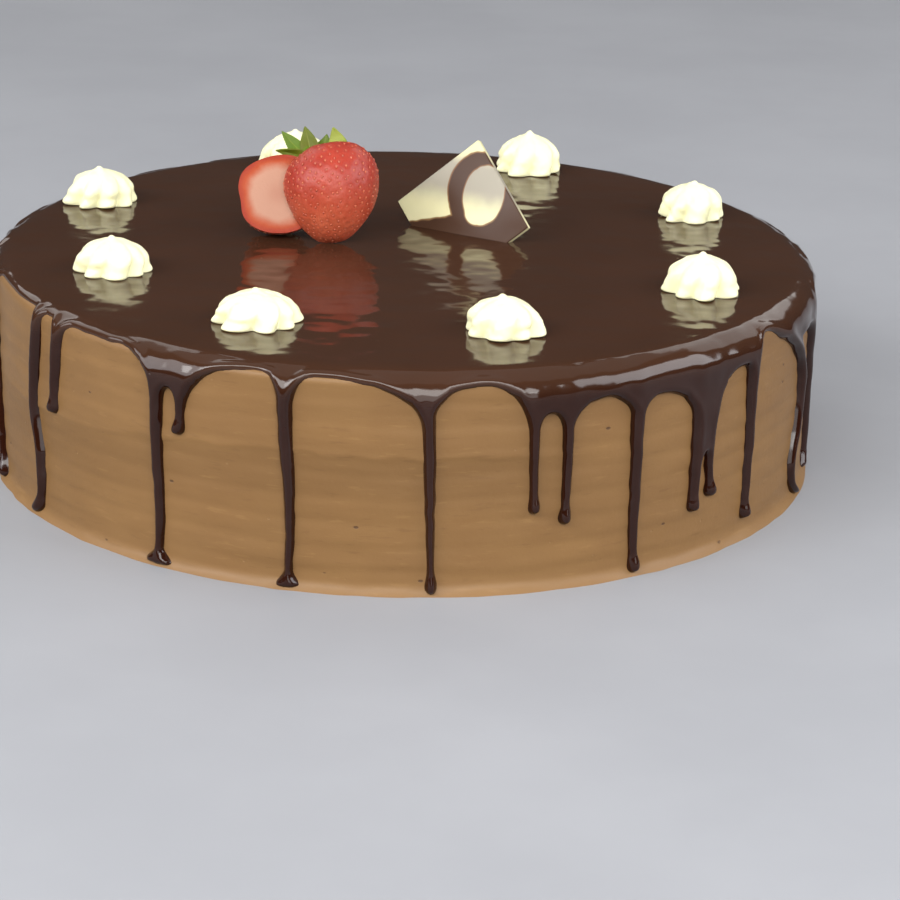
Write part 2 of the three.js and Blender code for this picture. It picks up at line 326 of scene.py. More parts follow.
def buildMousse():
    clearSelection()
    bpy.ops.mesh.primitive_cylinder_add(vertices=mousse["columns"], radius=bodyRadius * mm,
                                        depth=mousseTop * mm, end_fill_type="TRIFAN",
                                        location=(0, 0, mousseTop * mm / 2))
    piece = startPiece("mousse_body")
    bpy.ops.object.transform_apply()
    # cut the wall into rows across its upright edges
    bpy.ops.object.mode_set(mode="EDIT")
    bpy.ops.mesh.select_mode(type="EDGE")
    bpy.ops.mesh.select_all(action="DESELECT")
    bpy.ops.object.mode_set(mode="OBJECT")
    heights = readPoints(piece)[:, 2]
    for edge in piece.data.edges:
        first, second = edge.vertices
        edge.select = bool(abs(heights[first] - heights[second]) > 0.9 * mousseTop * mm)
    bpy.ops.object.mode_set(mode="EDIT")
    bpy.ops.mesh.subdivide(number_cuts=mousse["rows"] - 1)
    bpy.ops.object.mode_set(mode="OBJECT")
    # round the edge, spread the foot and press the scraper's marks in
    points = readPoints(piece) / mm
    wall = np.hypot(points[:, 0], points[:, 1]) > bodyRadius / 2
    angle = np.arctan2(points[wall, 0], -points[wall, 1])
    height = points[wall, 2]
    bend = np.clip((height - bendBottom) / body["edge"], 0, 1)
    radius = bodyRadius - body["edge"] * (1 - np.sqrt(1 - bend ** 2)) + footSpread(height)
    radius += step(height, 0, 2) * (1 - bend) * mousseRelief(np.degrees(angle), height)
    ragged = mousse["footRagged"] * softNoise(angle / (2 * np.pi), 0, 140, 1, mousse["footSeed"])
    radius += (1 - step(height, 0, 3)) * ragged
    points[wall] = polar(radius, angle, height) / mm
    writePoints(piece, points * mm)
    # the mousse is a little darker under the seam
    plain, seam = seamAt(np.degrees(angle))
    under = np.zeros(len(points))
    under[wall] = plain * step(seam - height, 0, 1.2) * (1 - step(seam - height, 5, 22))
    markPoints(piece, "under", under)
    return piece


# Glaze with its drips

glaze = {
    "top": glazeTop - mousseTop,
    "side": 2.0,           # thickness down the side
    "fall": 0.35,          # how far the top falls towards its edge
    "fallReach": 34,
    "waves": 0.1,          # of the top, which is not quite level
    "roll": 8.0,           # radius of the turn from the top to the side
    "rounding": (3.0, 1.9),    # how far the rolled lower edge reaches in, near the top and lower down
    "blunt": 1.7,          # 2 for a round lower edge, less for a flatter slope
    "bead": 0.3,           # extra along the lower edge, with its middle and reach
    "beadPlace": (1.8, 1.3),
    "ridge": 0.45,         # extra where the glaze gathers above a drip
    "ridgeReach": 3.2,
    "bulb": 0.5,           # extra in the bulb at the end of a hanging drip
    "bulbRise": 6.5,
    "tipRound": 2.2,
    "softTurn": 4,         # how far a turn on the way down is softened
    "uneven": (0.18, 0.07),    # broad and fine unevenness of the thickness
    "ragged": (0.35, 0.22),    # unevenness of the lower edge, down and across
    "tuck": 0.15,          # the edge dips this far into the mousse
    "inside": -0.6,
    "fine": 0.42,          # mesh steps near drips, between them and down the side
    "coarse": 1.3,
    "row": 0.55,
    "busy": 5.5,           # how far the fine steps reach
    "reach": 5.0,          # distances past this are all alike
    "overlap": 40,         # how far the closed edge runs on past its ends
    "topRings": [0.5, 1.2, 2.2, 4, 7, 11, 16, 24, 36, 52, 72, 95, 114],
    "seed": 5,
}
# drips on the front: heights and angles of the way down, tip, widths at root, leg and bulb, lap on the right,
# reach and fall of the flares on the left and on the right, and the rise of a bulb that spreads at the foot
frontDrips = [
    dict(way=[(60, -78), (40, -77), (24, -75.5), (12, -73.9), (3, -72.3)], tip=0.8,
         widths=(4.4, 3.4, 4.8), lap=1.6, left=(8, 8), right=(6, 8)),
    dict(way=[(62, -57.6), (56, -57.7), (44, -58.4), (36, -58.9), (28, -58.2), (21, -57), (13, -56.7),
              (5, -57), (1.5, -58.4)], tip=0.5,
         widths=(4.2, 3.2, 5.4), lap=2.0, left=(1.5, 4), right=(3, 6)),
    dict(way=[(60, -52.1), (48, -52.6), (37, -53.2)], tip=34.4,
         widths=(4.0, 3.1, 4.4), lap=2.2, left=(3, 6), right=(6, 8)),
    dict(way=[(58, -33), (46, -33.1), (38, -33.2), (28, -32.9), (16, -32.6), (2, -32.8)], tip=0.7,
         widths=(4.4, 3.0, 10), lap=11.3, left=(13.2, 12), right=(3, 4.5), bulbRise=5),
    dict(way=[(54, -29.3), (47, -29.4), (42, -29.9)], tip=40.8,
         widths=(3.6, 2.9, 4.3), lap=2.2, left=(3, 4.5), right=(20, 15)),
    dict(way=[(58, -14.9), (49, -14.8), (40, -14.7), (34, -14.3), (26, -14.1), (12, -14.1), (2, -14.3)],
         tip=0.6, widths=(4.8, 2.6, 7.2), lap=2.6, left=(4.2, 9), right=(5.5, 9), bulbRise=5),
    dict(way=[(50, 3.45), (37, 3.7), (20, 3.9), (2, 4.1)], tip=0.7,
         widths=(4.3, 2.2, 3.6), lap=3.8, left=(24, 13), right=(12.4, 8.5)),
    dict(way=[(50, 17.1), (33, 17.1), (25, 17.3)], tip=23,
         widths=(3.9, 2.7, 3.7), lap=13.1, left=(14, 14), right=(3.2, 4)),
    dict(way=[(48, 21.6), (38, 21.7), (29, 21.5), (21, 21.6)], tip=19,
         widths=(4.0, 2.8, 4.1), lap=10.4, left=(3.2, 4), right=(9.5, 8)),
    dict(way=[(48, 31.7), (28, 31.8), (16, 31.7), (3, 32)], tip=0.7,
         widths=(4.7, 3.1, 4.3), lap=12, left=(8.6, 6.5), right=(5.5, 5)),
    dict(way=[(44, 42.2), (34, 42.1), (24, 41.8), (16, 41.7)], tip=14.6,
         widths=(5.4, 3.5, 4.2), lap=33, left=(13.3, 10), right=(1.2, 3)),
    dict(way=[(44, 44.5), (34, 44.6), (28, 44.6), (20, 45.1)], tip=17.9,
         widths=(5.0, 3.0, 4.6), lap=11, left=(1.2, 3), right=(9.8, 15)),
    dict(way=[(50, 53.4), (38, 53.6), (25, 53.5), (16, 53.3), (8, 53.3)], tip=5.8,
         widths=(4.4, 2.8, 4.2), lap=4.1, left=(2.2, 5), right=(8.5, 11)),
    dict(way=[(60, 63), (56, 65), (48, 70), (41, 72.2), (31, 72.6), (22, 71.2), (14, 69), (9, 68.9),
              (3, 71), (0.6, 73)], tip=0.6,
         widths=(4.6, 3.4, 4.8), lap=13, left=(20, 16), right=(4, 6)),
    dict(way=[(58, 77), (48, 79.5), (36, 82), (20, 83.5), (8, 84), (2, 84)], tip=0.7,
         widths=(4.4, 3.4, 10), lap=5, left=(4, 6), right=(9, 9), bulbRise=6),
]
frontEnds = (-75, 82.6)    # degrees, where the drips on the back end and begin
# drips on the back follow the same look by chance
backDrips = {
    "seed": 7,
    "gap": (9, 18),        # degrees from one to the next
    "tip": (1.4, 44),
    "lap": (1.5, 10),
    "reach": (4, 17),
    "fall": (6, 13),
    "wayTop": 58,
    "waySteps": 5,
    "sway": 0.7,
    "leg": (2.7, 3.8),
    "rootExtra": 1.1,
    "bulbExtra": (0.7, 1.6),
}


def backDripList():
    state = backDrips["seed"]

    def draw(span, power=1):  # places, tips and laps come from a plain draw of their own
        nonlocal state
        state = state * 48271 % 2147483647
        return mixed(*span, (state / 2147483647) ** power)

    extra = np.random.default_rng(backDrips["seed"])
    angle = frontEnds[1] + draw(backDrips["gap"])
    made = []
    while angle < 360 + frontEnds[0] - backDrips["gap"][0]:
        tip = draw(backDrips["tip"], 2)
        lap = draw(backDrips["lap"])
        heights = np.linspace(backDrips["wayTop"], tip, backDrips["waySteps"])
        sway = np.cumsum(extra.normal(0, backDrips["sway"], backDrips["waySteps"]))
        leg = extra.uniform(*backDrips["leg"])
        bulb = leg + extra.uniform(*backDrips["bulbExtra"])
        left, right = ((extra.uniform(*backDrips["reach"]), extra.uniform(*backDrips["fall"]))
                       for _ in range(2))
        way = list(zip(heights, angle + (sway - sway[0]) / perDegree))
        widths = (leg + backDrips["rootExtra"], leg, bulb)
        made.append(dict(way=way, tip=tip, widths=widths, lap=lap, left=left, right=right))
        angle += draw(backDrips["gap"])
    return made


def middleOf(drip, down):  # across, in millimetres, softened where the way turns
    heights, angles = np.array(sorted(drip["way"])).T
    height = wayDownTo(np.asarray(down, float))
    shifts = np.linspace(-glaze["softTurn"], glaze["softTurn"], 9)
    return np.mean([np.interp(height + shift, heights, angles) for shift in shifts], 0) * perDegree


def bulbShare(drip, down):
    rise = drip.get("bulbRise", glaze["bulbRise"])
    start = 0.05 if "bulbRise" in drip else 0.35
    return 1 - step(wayDownTo(drip["tip"]) - down, start * rise, rise)


def halfWidthOf(drip, down):
    root, leg, bulb = drip["widths"]
    end = wayDownTo(drip["tip"])
    width = mixed(leg, root, step(end - down, 3, end - 8))
    width = mixed(width, bulb, bulbShare(drip, down))
    cap = 1.0 if "bulbRise" in drip else min(bulb / 2, glaze["tipRound"])
    return width / 2 * np.sqrt(1 - np.clip(1 - (end - down) / cap, 0, 1) ** 2)


def sideOf(drip, side, lap, reach, fall):  # from the tip up to the end of the flare
    end = wayDownTo(drip["tip"])
    fall = min(fall, end - lap - 3)
    cap = glaze["tipRound"]
    tipRows = end - cap * (1 - np.cos(np.linspace(0, np.pi / 2, 9)))
    legRows = np.arange(end - cap - 0.5, lap + fall, -0.5)
    turn = np.linspace(0, np.pi / 2, 24)
    flareRows = lap + fall * (1 - np.sin(turn))
    down = np.concatenate([tipRows, legRows, flareRows])
    spread = np.concatenate([0 * tipRows, 0 * legRows, reach * (1 - np.cos(turn))])
    return middleOf(drip, down) + side * (halfWidthOf(drip, down) + spread), down


def glazeEdge(drips):  # the closed lower edge, across and down in millimetres
    runs = []
    for drip, after in zip(drips, drips[1:] + drips[:1]):
        shift = roundTrip if after is drips[0] else 0
        lap = drip["lap"]
        room = (middleOf(after, lap) + shift - halfWidthOf(after, lap)
                - middleOf(drip, lap) - halfWidthOf(drip, lap))
        squeeze = min(1, 0.98 * room / (drip["right"][0] + after["left"][0]))
        rightAcross, rightDown = sideOf(drip, 1, lap, drip["right"][0] * squeeze, drip["right"][1])
        leftAcross, leftDown = sideOf(after, -1, lap, after["left"][0] * squeeze, after["left"][1])
        gap = np.linspace(rightAcross[-1], leftAcross[-1] + shift, 2 + int(room / 1.5))[1:-1]
        across = np.concatenate([rightAcross, gap, leftAcross[::-1] + shift])
        down = np.concatenate([rightDown, 0 * gap + lap, leftDown[::-1]])
        runs.append(np.stack([across, down], 1))
    edge = np.concatenate(runs)
    turn = edge[:, 0] / roundTrip
    raggedDown, raggedAcross = glaze["ragged"]
    waver = step(edge[:, 1], 2, 8)
    edge[:, 1] += raggedDown * softNoise(turn, 0, 210, 1, glaze["seed"])
    edge[:, 0] += raggedAcross * waver * softNoise(turn, edge[:, 1] / 65, 60, 16, glaze["seed"] + 1)
    return edge


def glazeGrid(drips):  # columns follow the drips on their way down, and stand closer near them
    homes = np.array([np.mean([angle for _, angle in drip["way"]]) for drip in drips]) * perDegree
    start = homes[0] - glaze["busy"] - 1
    across = [start]
    while across[-1] < start + roundTrip - glaze["fine"]:
        near = np.abs(homes - across[-1]).min() < glaze["busy"]
        across.append(across[-1] + (glaze["fine"] if near else glaze["coarse"]))
    across = np.array(across)
    across = start + (across - start) * roundTrip / (across[-1] + glaze["fine"] - start)
    down = np.arange(0, wayDownTo(0.3), glaze["row"])
    strays = np.array([middleOf(drip, down) for drip in drips]) - homes[:, None]
    allHomes = np.concatenate([homes - roundTrip, homes, homes + roundTrip])
    shift = np.stack([np.interp(across, allHomes, np.tile(stray, 3)) for stray in strays.T], 1)
    return np.stack([across[:, None] + shift, down + 0 * shift], -1)


def distances(edge, grid):  # signed distance to the edge and the nearest place on it
    tail = edge[edge[:, 0] > edge[:, 0].max() - glaze["overlap"]] - (roundTrip, 0)
    head = edge[edge[:, 0] < edge[:, 0].min() + glaze["overlap"]] + (roundTrip, 0)
    line = np.concatenate([tail, edge, head])
    starts, ends = line[:-1], line[1:]
    signed = np.zeros(grid.shape[:2])
    nearest = np.zeros(grid.shape)
    for number, column in enumerate(grid):
        x, y = column[:, :1], column[:, 1:]
        close = (np.maximum(starts[:, 0], ends[:, 0]) > x.min() - glaze["reach"])
        close &= np.minimum(starts[:, 0], ends[:, 0]) < x.max() + glaze["reach"]
        startX, startY = starts[close].T
        runX, runY = (ends[close] - starts[close]).T
        crossing = (startX <= x) != (startX + runX <= x)
        level = startY + (x - startX) / np.where(crossing, runX, 1) * runY
        inside = (crossing & (level > y)).sum(1) % 2 == 1
        squared = np.maximum(runX ** 2 + runY ** 2, 1e-9)
        share = np.clip(((x - startX) * runX + (y - startY) * runY) / squared, 0, 1)
        foundX, foundY = startX + share * runX, startY + share * runY
        away = np.hypot(foundX - x, foundY - y)
        best = away.argmin(1)
        rows = np.arange(len(column))
        far = np.minimum(away[rows, best], glaze["reach"])
        signed[number] = np.where(inside, far, -far)
        nearest[number] = np.stack([foundX[rows, best], foundY[rows, best]], 1)
    return signed, nearest


def snapToEdge(grid, signed, nearest):  # pulls the grid's corners onto the edge where a grid line crosses it
    snapped = np.zeros(signed.shape, bool)
    for axis in (0, 1):
        ahead = np.roll(signed, -1, axis)
        crosses = (signed > 0) != (ahead > 0)
        if axis == 1:
            crosses[:, -1] = False
        first = crosses & (np.abs(signed) <= np.abs(ahead))
        snapped |= first
        snapped |= np.roll(crosses & ~first, 1, axis)
    grid[snapped] = nearest[snapped]
    return snapped, np.where(snapped, 0, signed)


def rollLoss(down, signed):  # what a turn of the wanted radius takes off the corner, away from the lower edge
    outer = body["edge"] + glaze["side"]
    inset = outer - glaze["roll"]
    beyond = np.maximum(-down, down - bendLength)
    flat = glaze["roll"] - np.sqrt(glaze["roll"] ** 2 - np.maximum(-inset - beyond, 0) ** 2)
    bend = np.clip(down, 0, bendLength) / body["edge"]
    along = inset * (np.sin(bend) + np.cos(bend))
    curved = outer - along - np.sqrt(along ** 2 - 2 * inset ** 2 + glaze["roll"] ** 2)
    return np.where(beyond > 0, flat, curved) * step(signed, 0.5, 4)


def edgeRoll(signed, down):  # share of the thickness that is left near the lower edge
    rounding = mixed(*glaze["rounding"], step(down, 6, 14))
    return (1 - (1 - np.clip(signed / rounding, 0, 1)) ** glaze["blunt"]) ** (1 / glaze["blunt"])


def glazeLift(drips, across, down, signed):  # thickness down the side
    turn, level, seed = across / roundTrip, np.clip(down / 66, 0, 1), glaze["seed"]
    broad, fine = glaze["uneven"]
    thick = mixed(glaze["top"] - glaze["fall"], glaze["side"], step(down, 0, 7)) - rollLoss(down, signed)
    thick = thick + broad * step(down, -3, 1) * softNoise(turn, level, 64, 9, seed + 2)
    thick = thick + fine * step(down, -2, 1) * softNoise(turn, level, 190, 14, seed + 3)
    for drip in drips:
        offset = (across - middleOf(drip, down) + roundTrip / 2) % roundTrip - roundTrip / 2
        gathers = step(down, 0, 9) * (1 - step(down, drip["lap"] + 10, drip["lap"] + 22))
        thick = thick + glaze["ridge"] * np.exp(-(offset / glaze["ridgeReach"]) ** 2) * gathers
        if "bulbRise" not in drip:
            swell = bulbShare(drip, down) * np.exp(-(offset / drip["widths"][2]) ** 4)
            thick = thick + glaze["bulb"] * swell
    beadMiddle, beadReach = glaze["beadPlace"]
    bead = glaze["bead"] * step(down, 1, 6) * np.exp(-((signed - beadMiddle) / beadReach) ** 2)
    return (thick + glaze["tuck"] + bead) * edgeRoll(signed, down) - glaze["tuck"]


def topLift(across, ring, signed):  # thickness on the top, so far in from its edge
    fall = glaze["fall"] * max(0, 1 - ring / glaze["fallReach"]) ** 2 + rollLoss(-ring, signed)
    swell = softNoise(across / roundTrip, ring / 130, 14, 7, glaze["seed"] + 4)
    waves = glaze["waves"] * step(ring, 2, 12) * swell
    return (glaze["top"] - fall + waves) * edgeRoll(signed, 0)


def evened(values, kept, rounds):  # soften along and across the sheet, apart from the kept points
    for _ in range(rounds):
        around = (np.roll(values, 1, 0) + np.roll(values, -1, 0)) / 2
        upDown = values.copy()
        upDown[:, 1:-1] = (values[:, :-2] + values[:, 2:]) / 2
        values = np.where(kept, values, (2 * values + around + upDown) / 4)
    return values


def gridQuads(index):  # faces between the columns of a sheet that closes on itself
    after = np.roll(index, -1, 0)
    return np.stack([index[:, :-1], index[:, 1:], after[:, 1:], after[:, :-1]], -1).reshape(-1, 4)


def buildGlaze():
    drips = frontDrips + backDripList()
    grid = glazeGrid(drips)
    across = grid[:, 0, 0].copy()
    signed, nearest = distances(glazeEdge(drips), grid)
    snapped, signed = snapToEdge(grid, signed, nearest)
    lift = evened(glazeLift(drips, grid[..., 0], grid[..., 1], signed), signed <= 0, 3)
    outer = onSkin(grid[..., 0], grid[..., 1], lift).reshape(-1, 3)
    inner = onSkin(grid[..., 0], grid[..., 1], 0 * lift + glaze["inside"]).reshape(-1, 3)
    rings = [onSkin(across, 0 * across - ring, topLift(across, ring, signed[:, 0] + ring))
             for ring in glaze["topRings"]]
    middles = np.array([(0, 0, glazeTop), (0, 0, mousseTop + glaze["inside"])]) * mm
    points = np.concatenate([outer, inner, *rings, middles])
    # faces of the side: quads inside the edge, and triangles along it
    total = signed.size
    index = np.arange(total).reshape(signed.shape)
    corners = gridQuads(index)
    outside = signed.ravel()[corners] < 0
    onEdge = snapped.ravel()[corners].sum(1)
    quads = corners[(outside.sum(1) == 0) & (onEdge < 4)]
    halves = (outside.sum(1) == 1) & (onEdge < 3)
    triangles = corners[halves][~outside[halves]].reshape(-1, 3)
    sheet = [tuple(face) for face in quads.tolist() + triangles.tolist()]
    # their backs, and a wall that closes the sheet along its edge
    backs = [tuple(corner + total for corner in reversed(face)) for face in sheet]
    sides = {(first, second) for face in sheet for first, second in zip(face, face[1:] + face[:1])}
    topEdge = set(index[:, 0].tolist())
    wall = [(second, first, first + total, second + total) for first, second in sorted(sides)
            if (second, first) not in sides and not (first in topEdge and second in topEdge)]
    # rings on the flat top, closed at the middle, and the underside
    ringCorners = np.arange(2 * total, len(points) - 2).reshape(len(rings), -1)
    ringIndex = np.concatenate([[index[:, 0]], ringCorners])
    top = gridQuads(ringIndex[::-1].T).tolist()
    crown, below = len(points) - 2, len(points) - 1
    innermost, innerEdge = ringIndex[-1], index[:, 0] + total
    fan = [(crown, first, second) for first, second in zip(innermost, np.roll(innermost, -1))]
    under = [(below, second, first) for first, second in zip(innerEdge, np.roll(innerEdge, -1))]
    faces = sheet + backs + wall + top + fan + under
    # leave out the points that no face uses
    used, renumbered = np.unique(np.concatenate(faces), return_inverse=True)
    ends = np.cumsum([len(face) for face in faces])
    faces = [tuple(renumbered[end - len(face):end]) for face, end in zip(faces, ends)]
    return fromArrays("glaze_coat", points[used], faces)


# Cream rosettes

rosette = {
    "lobes": 8,
    "perLobe": 8,
    # reach in half widths, level in heights, depth of the grooves as a share of the reach
    "rings": [(0.90, 0.0, 0.26), (0.97, 0.02, 0.31), (1.0, 0.06, 0.34), (0.985, 0.12, 0.335),
              (0.96, 0.19, 0.32), (0.94, 0.27, 0.29), (0.92, 0.36, 0.26), (0.885, 0.45, 0.225),
              (0.83, 0.54, 0.19), (0.74, 0.63, 0.155), (0.62, 0.72, 0.12), (0.46, 0.80, 0.08),
              (0.30, 0.86, 0.04), (0.19, 0.895, 0), (0.125, 0.92, 0), (0.09, 0.95, 0),
              (0.055, 0.985, 0), (0.02, 1.0, 0)],
    "swirl": 24,         # degrees that the grooves turn between foot and peak
    "wander": (0.1, 0.07),
    "sharpness": 1.1,
    "uneven": 0.05,
    "fuller": (-0.1, 0.07),     # how lobes differ in girth, in the crease round them and at the foot
    "crease": (-0.02, 0.08),
    "creasePlace": (0.26, 0.08),
    "raised": (-0.04, 0.05),
    "lean": 0.8,
    "rough": 0.34,       # piped cream is not quite smooth
    "sink": 0.15,        # the foot presses a little into the glaze
    "levels": 2,
    "turns": [10, 32, 5, 48, 20, 37, 15, 52],
    "seed": 31,
}


def buildRosette(number):
    low, high = (Vector(corner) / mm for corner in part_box(f"cream_rosette_{number}"))
    middle = (low + high) / 2
    half = (high.x - low.x + high.y - low.y) / 4
    base = glazeTop - rosette["sink"]
    tall = high.z - base
    reaches, levels, depths = zip(*rosette["rings"])
    # a disc is pulled up ring by ring
    clearSelection()
    bpy.ops.mesh.primitive_circle_add(vertices=rosette["lobes"] * rosette["perLobe"],
                                      radius=reaches[0] * half * mm, fill_type="NGON")
    piece = startPiece(f"rosette_{number}")
    bpy.ops.object.mode_set(mode="EDIT")
    bpy.ops.mesh.select_all(action="SELECT")
    for (before, lower, _), (after, upper, _) in zip(rosette["rings"], rosette["rings"][1:]):
        bpy.ops.mesh.extrude_region_move(
            TRANSFORM_OT_translate={"value": (0, 0, (upper - lower) * tall * mm)})
        bpy.ops.transform.resize(value=(after / before, after / before, 1), center_override=(0, 0, 0))
    bpy.ops.mesh.select_all(action="SELECT")
    bpy.ops.mesh.normals_make_consistent(inside=False)
    bpy.ops.object.mode_set(mode="OBJECT")
    # grooves between the lobes, with every lobe a little different
    draw = np.random.default_rng(rosette["seed"] + number)

    def phase():
        return draw.uniform(0, 6.3)

    points = readPoints(piece) / mm
    angle = np.arctan2(points[:, 1], points[:, 0])
    level = points[:, 2] / tall
    double, triple = rosette["wander"]
    wander = double * np.sin(2 * angle + phase()) + triple * np.sin(3 * angle + phase())
    lobeTurn = rosette["lobes"] * (angle + wander)
    groove = (1 - np.abs(np.cos(lobeTurn / 2))) ** rosette["sharpness"]
    uneven = sum(draw.uniform(0.4, 1) * np.cos(waves * angle + phase()) for waves in (1, 2, 3)) / 2
    lowPart = 1 - step(level, 0.15, 0.6)
    lobe = np.round(lobeTurn / (2 * np.pi)).astype(int) % rosette["lobes"]

    def eachLobe(span):
        return draw.uniform(*span, rosette["lobes"])[lobe]

    fuller = eachLobe(rosette["fuller"])
    creaseLevel, creaseReach = rosette["creasePlace"]
    crease = eachLobe(rosette["crease"]) * np.exp(-((level - creaseLevel) / creaseReach) ** 2)
    raised = eachLobe(rosette["raised"]) * (1 - step(level, 0.05, 0.4))
    swell = 1 + (1 - groove) * (fuller * lowPart - crease) + rosette["uneven"] * uneven * lowPart
    radius = np.hypot(points[:, 0], points[:, 1]) * (1 - np.interp(level, levels, depths) * groove) * swell
    turned = angle + np.radians(rosette["turns"][number - 1] + rosette["swirl"] * level)
    lean = draw.uniform(-rosette["lean"], rosette["lean"], 2) * level[:, None] ** 3
    points[:, 0] = middle.x + radius * np.cos(turned) + lean[:, 0]
    points[:, 1] = middle.y + radius * np.sin(turned) + lean[:, 1]
    points[:, 2] = base + points[:, 2] * (1 + rosette["uneven"] * uneven * lowPart)
    points[:, 2] += tall * (1 - groove) * np.maximum(raised, 0)
    writePoints(piece, points * mm)
    modify(piece, "SUBSURF", levels=rosette["levels"], render_levels=rosette["levels"])
    points = readPoints(piece) / mm
    rough = sum(np.sin(points @ draw.normal(0, 1.1, 3) + phase()) for _ in range(9)) / 9
    away = unit(points - np.array([middle.x, middle.y, base + 2]))
    points += away * (rosette["rough"] * rough * step(points[:, 2], base + 0.2, base + 1.5))[:, None]
    writePoints(piece, points * mm)
    return piece


# Strawberry halves and leaves, which share one cut plane that leans back

cut = {"y": 2, "lean": 28}
cutPlane = (Matrix.Translation((0, cut["y"] * mm, glazeTop * mm))
            @ Matrix.Rotation(-math.radians(cut["lean"]), 4, "X"))
berry = {
    "columns": 220,
    "rows": 126,
    "seedSpacing": 2.7,
    "packing": 0.8,
    "seedRange": (0.35, 3.0),    # from the stem end to the tip, in radians
    "seedJitter": (0.025, 0.03),
    "seedSize": (0.48, 0.31, 0.22),
    "seedSink": 0.08,
    "pitDepth": 0.14,
    "pitReach": 0.7,
    "brim": 0.2,           # of a pit, as a share of its depth, with its middle and reach
    "brimPlace": (1.3, 0.5),
    "lumps": 0.06,
    "lumpWaves": 0.28,     # usual wave number, in radians to the millimetre
    "lumpSeed": 3,
    "dimple": (1.6, 4),    # depth and reach at the stem end
    "cutMargin": 0.012,    # points this near the cut plane belong to its face
    "cutSwell": 0.5,
    "seed": 17,
}
# place across and up the cut plane, turn of the stem end to the right, side of the plane, length from stem to
# tip, width along the cut, depth across it, bluntness of the ends, taper to the tip, slope of the stem end
frontHalf = {"x": -23.5, "up": 16, "turn": 0, "side": -1, "length": 32, "width": 30, "depth": 30,
             "fullness": 1, "taper": 0.2, "slope": 0.14}
rearHalf = {"x": -40.2, "up": 15.3, "turn": 80, "side": 1, "length": 23.6, "width": 25, "depth": 31,
            "fullness": 0.6, "taper": 0.04, "slope": 0}


def berryMatrix(half):
    return (cutPlane @ Matrix.Translation((half["x"] * mm, 0, half["up"] * mm))
            @ Matrix.Rotation(math.radians(half["turn"]), 4, "Y"))


def berryPlace(half, turn, angle):
    taper = half["taper"]
    girth = np.sin(turn) ** half["fullness"] * (1 + taper * np.cos(turn)) / (1 + taper ** 2 / 2)
    x = half["width"] / 2 * girth * np.cos(angle)
    y = half["depth"] / 2 * girth * np.sin(angle)
    z = half["length"] / 2 * np.cos(turn)
    depth, reach = berry["dimple"]
    dimple = depth * np.exp(-(np.hypot(x, y) / reach) ** 2) * step(np.cos(turn), 0.5, 1)
    z = z + half["slope"] * x * step(np.cos(turn), -0.4, 1) - dimple
    return np.stack([x, y, z], -1)


def seedPlaces(half):  # spread evenly over the skin, each a golden angle on from the last
    skin = math.pi * half["width"] * half["length"]
    count = int(skin / (berry["seedSpacing"] ** 2 * berry["packing"]))
    order = np.arange(count) + 0.5
    turn = np.arccos(1 - 2 * order / count)
    angle = (order * math.pi * (3 - math.sqrt(5)) + 0.4) % (2 * math.pi)
    draw = np.random.default_rng(berry["seed"])
    turnJitter, angleJitter = berry["seedJitter"]
    turn = turn + draw.normal(0, turnJitter, count)
    angle = angle + draw.normal(0, angleJitter, count)
    first, last = berry["seedRange"]
    keep = (turn > first) & (turn < last) & (half["side"] * np.sin(angle) > 0.05)
    return turn[keep], angle[keep]


def buildSeeds(half, grain, seeds, seedTurn, seedAngle):
    clearSelection()
    bpy.ops.mesh.primitive_ico_sphere_add(subdivisions=2, radius=1)
    model = startPiece("seed")
    ball = readPoints(model)
    triangles = np.array([list(polygon.vertices) for polygon in model.data.polygons])
    bpy.data.objects.remove(model)
    # every seed lies on the skin and points to the tip
    long, wide, deep = berry["seedSize"]
    towardTip = unit(berryPlace(half, seedTurn + 0.05, seedAngle) - seeds)
    outward = unit(seeds)
    outward = unit(outward - towardTip * (outward * towardTip).sum(1)[:, None])
    sideways = np.cross(outward, towardTip)
    slim = 1 - 0.3 * ball[:, 0]    # a drop's shape, thinner at one end
    made = (seeds[:, None, :] - outward[:, None, :] * berry["seedSink"]
            + towardTip[:, None, :] * (long * ball[:, 0])[None, :, None]
            + sideways[:, None, :] * (wide * ball[:, 1] * slim)[None, :, None]
            + outward[:, None, :] * (deep * ball[:, 2] * slim)[None, :, None])
    faces = (triangles[None] + (np.arange(len(seeds)) * len(ball))[:, None, None]).reshape(-1, 3)
    piece = fromArrays("seeds", placed(made.reshape(-1, 3), berryMatrix(half)), faces.tolist())
    smoothShade(piece)
    piece.data.materials.append(grain)
    return piece


